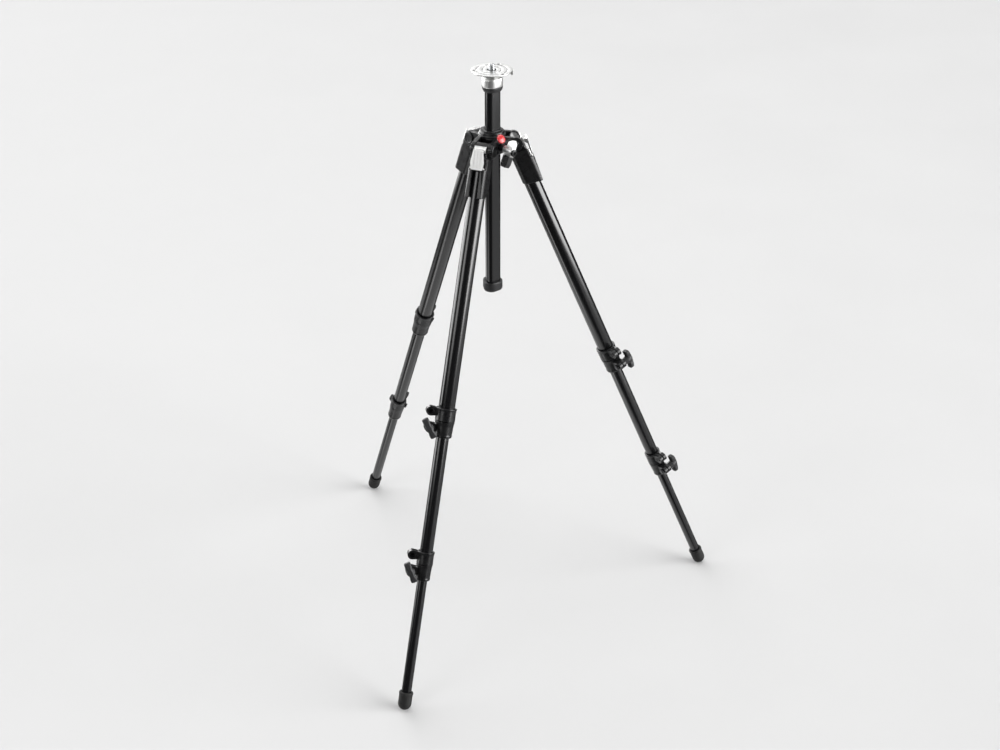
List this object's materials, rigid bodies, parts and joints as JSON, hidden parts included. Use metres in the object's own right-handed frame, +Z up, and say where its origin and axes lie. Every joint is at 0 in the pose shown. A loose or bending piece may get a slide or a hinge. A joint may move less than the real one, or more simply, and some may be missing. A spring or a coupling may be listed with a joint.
{
  "type": "camera tripod",
  "caption": "Black aluminium camera tripod with a bare head plate, sliding triangular centre column, leg angle tabs, telescoping legs, wing knob collars and rubber feet.",
  "frame": {"origin": "on the ground at the middle of the tripod's bounding box, directly under a point 91.5 mm in front of the column axis toward the front leg", "axes": "+Z up along the centre column; the front leg points toward -Y; +X to the right"},
  "size_m": [0.6468, 0.5629, 0.9188],
  "materials": {
    "tube_black": "black anodised, satin",
    "casting_black": "black painted die casting, fine texture",
    "aluminium_satin": "turned and satin anodised",
    "steel": "zinc plated",
    "plastic_black": "moulded, fine texture",
    "rubber_black": "moulded rubber",
    "badge_red": "glossy, plain"
  },
  "bodies": {
    "hub": {"hub_casting": "casting_black", "column_bushing": "plastic_black", "badge": "badge_red", "column_lock_bolt": "steel", "front_pivot_pin": "casting_black", "right_pivot_pin": "casting_black", "left_pivot_pin": "casting_black"},
    "column": {"column_tube": "tube_black", "column_top_ring": "plastic_black", "column_top_collar": "aluminium_satin", "head_plate": "aluminium_satin", "head_stud": "steel", "column_bottom_cap": "plastic_black"},
    "column_lock": {"column_lock_lever": "aluminium_satin", "column_lock_grip": "plastic_black"},
    "front_leg": {"front_leg_casting": "casting_black", "front_upper_tube": "tube_black", "front_upper_collar": "casting_black", "front_upper_clamp_screw": "steel", "front_upper_knob_bolt": "steel"},
    "front_angle_tab": {"front_angle_tab": "aluminium_satin"},
    "front_upper_knob": {"front_upper_knob": "plastic_black"},
    "front_middle": {"front_middle_tube": "tube_black", "front_middle_guide": "plastic_black", "front_lower_collar": "casting_black", "front_lower_clamp_screw": "steel", "front_lower_knob_bolt": "steel"},
    "front_lower_knob": {"front_lower_knob": "plastic_black"},
    "front_lower": {"front_lower_tube": "tube_black", "front_foot": "rubber_black"},
    "right_leg": {"right_leg_casting": "casting_black", "right_upper_tube": "tube_black", "right_upper_collar": "casting_black", "right_upper_clamp_screw": "steel", "right_upper_knob_bolt": "steel"},
    "right_angle_tab": {"right_angle_tab": "aluminium_satin"},
    "right_upper_knob": {"right_upper_knob": "plastic_black"},
    "right_middle": {"right_middle_tube": "tube_black", "right_middle_guide": "plastic_black", "right_lower_collar": "casting_black", "right_lower_clamp_screw": "steel", "right_lower_knob_bolt": "steel"},
    "right_lower_knob": {"right_lower_knob": "plastic_black"},
    "right_lower": {"right_lower_tube": "tube_black", "right_foot": "rubber_black"},
    "left_leg": {"left_leg_casting": "casting_black", "left_upper_tube": "tube_black", "left_upper_collar": "casting_black", "left_upper_clamp_screw": "steel", "left_upper_knob_bolt": "steel"},
    "left_angle_tab": {"left_angle_tab": "aluminium_satin"},
    "left_upper_knob": {"left_upper_knob": "plastic_black"},
    "left_middle": {"left_middle_tube": "tube_black", "left_middle_guide": "plastic_black", "left_lower_collar": "casting_black", "left_lower_clamp_screw": "steel", "left_lower_knob_bolt": "steel"},
    "left_lower_knob": {"left_lower_knob": "plastic_black"},
    "left_lower": {"left_lower_tube": "tube_black", "left_foot": "rubber_black"}
  },
  "joints": [
    {"name": "column_slide", "type": "slide", "parent": "hub", "child": "column", "axis": [0, 0, 1], "range_m": [-0.0585, 0.2105]},
    {"name": "column_lock_turn", "type": "hinge", "parent": "hub", "child": "column_lock", "pos_m": [0.03551, 0.071, 0.7969], "axis": [0.866, -0.5, 0], "range_deg": [-40, 90]},
    {"name": "front_leg_spread", "type": "hinge", "parent": "hub", "child": "front_leg", "pos_m": [0, 0.0582, 0.7989], "axis": [-1, 0, 0], "range_deg": [-22.5, 65.4]},
    {"name": "front_angle_tab_pull", "type": "hinge", "parent": "front_leg", "child": "front_angle_tab", "pos_m": [0, 0.03331, 0.77839], "axis": [1, 0, 0], "range_deg": [0, 12], "stiffness_Nm_per_rad": 0.3, "springref_deg": -8.59},
    {"name": "front_upper_knob_turn", "type": "hinge", "parent": "front_leg", "child": "front_upper_knob", "pos_m": [-0.02075, -0.11308, 0.41613], "axis": [0.4695, -0.8151, 0.3393], "range_deg": [-180, 180]},
    {"name": "front_lower_knob_turn", "type": "hinge", "parent": "front_middle", "child": "front_lower_knob", "pos_m": [-0.01854, -0.19781, 0.20953], "axis": [0.4695, -0.8151, 0.3393], "range_deg": [-180, 180]},
    {"name": "front_middle_slide", "type": "slide", "parent": "front_leg", "child": "front_middle", "axis": [0, -0.3843, -0.9232], "range_m": [-0.176, 0.09]},
    {"name": "front_lower_slide", "type": "slide", "parent": "front_middle", "child": "front_lower", "axis": [0, -0.3843, -0.9232], "range_m": [-0.178, 0.075]},
    {"name": "right_leg_spread", "type": "hinge", "parent": "hub", "child": "right_leg", "pos_m": [0.02884, 0.10815, 0.7989], "axis": [0.5, -0.866, 0], "range_deg": [-22.5, 65.4]},
    {"name": "right_angle_tab_pull", "type": "hinge", "parent": "right_leg", "child": "right_angle_tab", "pos_m": [0.0504, 0.1206, 0.77839], "axis": [-0.5, 0.866, 0], "range_deg": [0, 12], "stiffness_Nm_per_rad": 0.3, "springref_deg": -8.59},
    {"name": "right_upper_knob_turn", "type": "hinge", "parent": "right_leg", "child": "right_upper_knob", "pos_m": [0.18755, 0.17582, 0.41613], "axis": [0.4712, 0.8141, 0.3393], "range_deg": [-180, 180]},
    {"name": "right_lower_knob_turn", "type": "hinge", "parent": "right_middle", "child": "right_lower_knob", "pos_m": [0.25982, 0.2201, 0.20953], "axis": [0.4712, 0.8141, 0.3393], "range_deg": [-180, 180]},
    {"name": "right_middle_slide", "type": "slide", "parent": "right_leg", "child": "right_middle", "axis": [0.3328, 0.1921, -0.9232], "range_m": [-0.176, 0.09]},
    {"name": "right_lower_slide", "type": "slide", "parent": "right_middle", "child": "right_lower", "axis": [0.3328, 0.1921, -0.9232], "range_m": [-0.178, 0.075]},
    {"name": "left_leg_spread", "type": "hinge", "parent": "hub", "child": "left_leg", "pos_m": [-0.02884, 0.10815, 0.7989], "axis": [0.5, 0.866, 0], "range_deg": [-22.5, 65.4]},
    {"name": "left_angle_tab_pull", "type": "hinge", "parent": "left_leg", "child": "left_angle_tab", "pos_m": [-0.0504, 0.1206, 0.77839], "axis": [-0.5, -0.866, 0], "range_deg": [0, 12], "stiffness_Nm_per_rad": 0.3, "springref_deg": -8.59},
    {"name": "left_upper_knob_turn", "type": "hinge", "parent": "left_leg", "child": "left_upper_knob", "pos_m": [-0.1668, 0.21176, 0.41613], "axis": [-0.9407, 0.001, 0.3393], "range_deg": [-180, 180]},
    {"name": "left_lower_knob_turn", "type": "hinge", "parent": "left_middle", "child": "left_lower_knob", "pos_m": [-0.24128, 0.25221, 0.20953], "axis": [-0.9407, 0.001, 0.3393], "range_deg": [-180, 180]},
    {"name": "left_middle_slide", "type": "slide", "parent": "left_leg", "child": "left_middle", "axis": [-0.3328, 0.1921, -0.9232], "range_m": [-0.176, 0.09]},
    {"name": "left_lower_slide", "type": "slide", "parent": "left_middle", "child": "left_lower", "axis": [-0.3328, 0.1921, -0.9232], "range_m": [-0.178, 0.075]}
  ]
}
